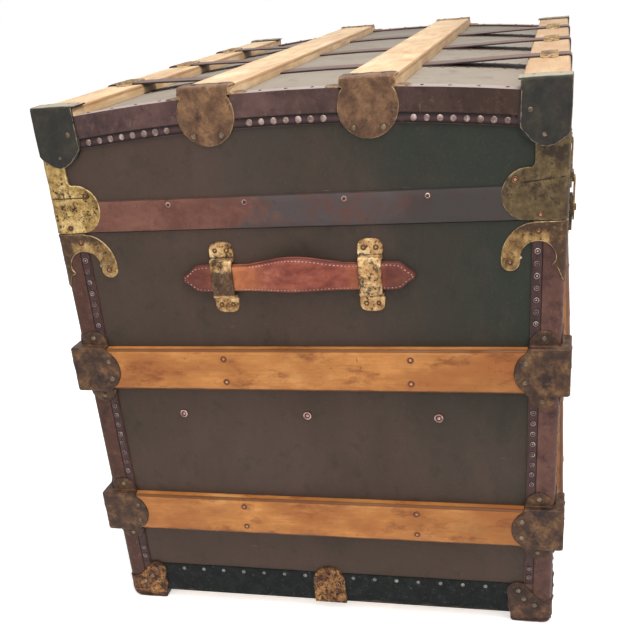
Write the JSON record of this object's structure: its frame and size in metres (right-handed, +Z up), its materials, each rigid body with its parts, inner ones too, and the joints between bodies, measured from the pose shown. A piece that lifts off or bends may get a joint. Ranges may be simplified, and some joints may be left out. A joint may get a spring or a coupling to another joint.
{
  "type": "steamer trunk",
  "caption": "Canvas-covered wooden trunk with a slightly crowned hinged lid, fibre bindings, wooden slats, brass corner hardware, leather end handles, a hasp lock and draw bolts.",
  "frame": {"origin": "on the floor under the middle of the trunk, on the underside of the bottom runner", "axes": "+X along the length towards the right end, -Y towards the lock side (front), +Z up"},
  "size_m": [0.899, 0.5849, 0.6486],
  "materials": {
    "board": "sawn pine boards",
    "canvas": "aged painted canvas, matt",
    "lining": "paper-backed cotton, matt",
    "fibre": "vulcanised fibre, worn satin",
    "black_sheet": "black japanned steel, satin",
    "slat_wood": "varnished hardwood, worn",
    "brass_plate": "brass-plated steel, dull and pitted",
    "dark_plate": "dark bronzed steel, worn",
    "rivet": "coppery rivet heads",
    "nail": "dull steel nail heads",
    "handle_leather": "stitched harness leather",
    "hinge_steel": "dark japanned steel"
  },
  "bodies": {
    "base": {"bottom_board": "board", "front_board": "board", "back_board": "board", "left_board": "board", "right_board": "board", "base_canvas": "canvas", "base_lining": "lining", "vertical_bindings": "fibre", "bottom_bindings": "black_sheet", "bottom_corner_caps": "dark_plate", "bottom_cap_nails": "nail", "bottom_runner": "slat_wood", "runner_end_clamps": "brass_plate", "end_slats": "slat_wood", "front_slats": "slat_wood", "back_slats": "slat_wood", "slat_screws": "nail", "slat_corner_clamps": "dark_plate", "slat_clamp_nails": "nail", "hook_corners": "brass_plate", "hook_rivets": "rivet", "left_handle_loops": "brass_plate", "right_handle_loops": "brass_plate", "handle_loop_rivets": "rivet", "panel_rivets": "rivet", "lock_body": "brass_plate", "draw_bolt_keepers": "brass_plate", "hinge_base_leaves": "hinge_steel", "hinge_pins": "hinge_steel"},
    "lid": {"lid_top_board": "board", "lid_front_board": "board", "lid_back_board": "board", "lid_left_board": "board", "lid_right_board": "board", "lid_canvas": "canvas", "lid_lining": "lining", "lid_edge_bindings": "fibre", "lid_lower_bands": "fibre", "lid_band_screws": "nail", "lid_middle_slats": "slat_wood", "lid_outer_slats": "slat_wood", "lid_cross_bands": "fibre", "lid_corner_clamps": "dark_plate", "lid_clamp_nails": "nail", "cross_band_clamps": "brass_plate", "cross_band_nails": "nail", "middle_slat_clamps": "dark_plate", "brass_corners": "brass_plate", "brass_corner_rivets": "rivet", "hinge_lid_leaves": "hinge_steel", "hasp_plate": "brass_plate", "draw_bolt_plates": "brass_plate"},
    "left_handle": {"left_handle": "handle_leather"},
    "right_handle": {"right_handle": "handle_leather"},
    "lock_hasp": {"lock_hasp": "brass_plate"},
    "left_draw_bolt": {"left_draw_bolt": "brass_plate"},
    "right_draw_bolt": {"right_draw_bolt": "brass_plate"}
  },
  "joints": [
    {"name": "lid_hinge", "type": "hinge", "parent": "base", "child": "lid", "pos_m": [0, 0.2844, 0.502], "axis": [-1, 0, 0], "range_deg": [0, 100]},
    {"name": "hasp_hinge", "type": "hinge", "parent": "lid", "child": "lock_hasp", "pos_m": [0, -0.2855, 0.511], "axis": [-1, 0, 0], "range_deg": [0, 120]},
    {"name": "left_bolt_hinge", "type": "hinge", "parent": "lid", "child": "left_draw_bolt", "pos_m": [-0.25, -0.2855, 0.511], "axis": [-1, 0, 0], "range_deg": [0, 120]},
    {"name": "right_bolt_hinge", "type": "hinge", "parent": "lid", "child": "right_draw_bolt", "pos_m": [0.25, -0.2855, 0.511], "axis": [-1, 0, 0], "range_deg": [0, 120]},
    {"name": "left_handle_play", "type": "slide", "parent": "base", "child": "left_handle", "axis": [0, 1, 0], "range_m": [-0.006, 0.006]},
    {"name": "right_handle_play", "type": "slide", "parent": "base", "child": "right_handle", "axis": [0, 1, 0], "range_m": [-0.006, 0.006]}
  ]
}
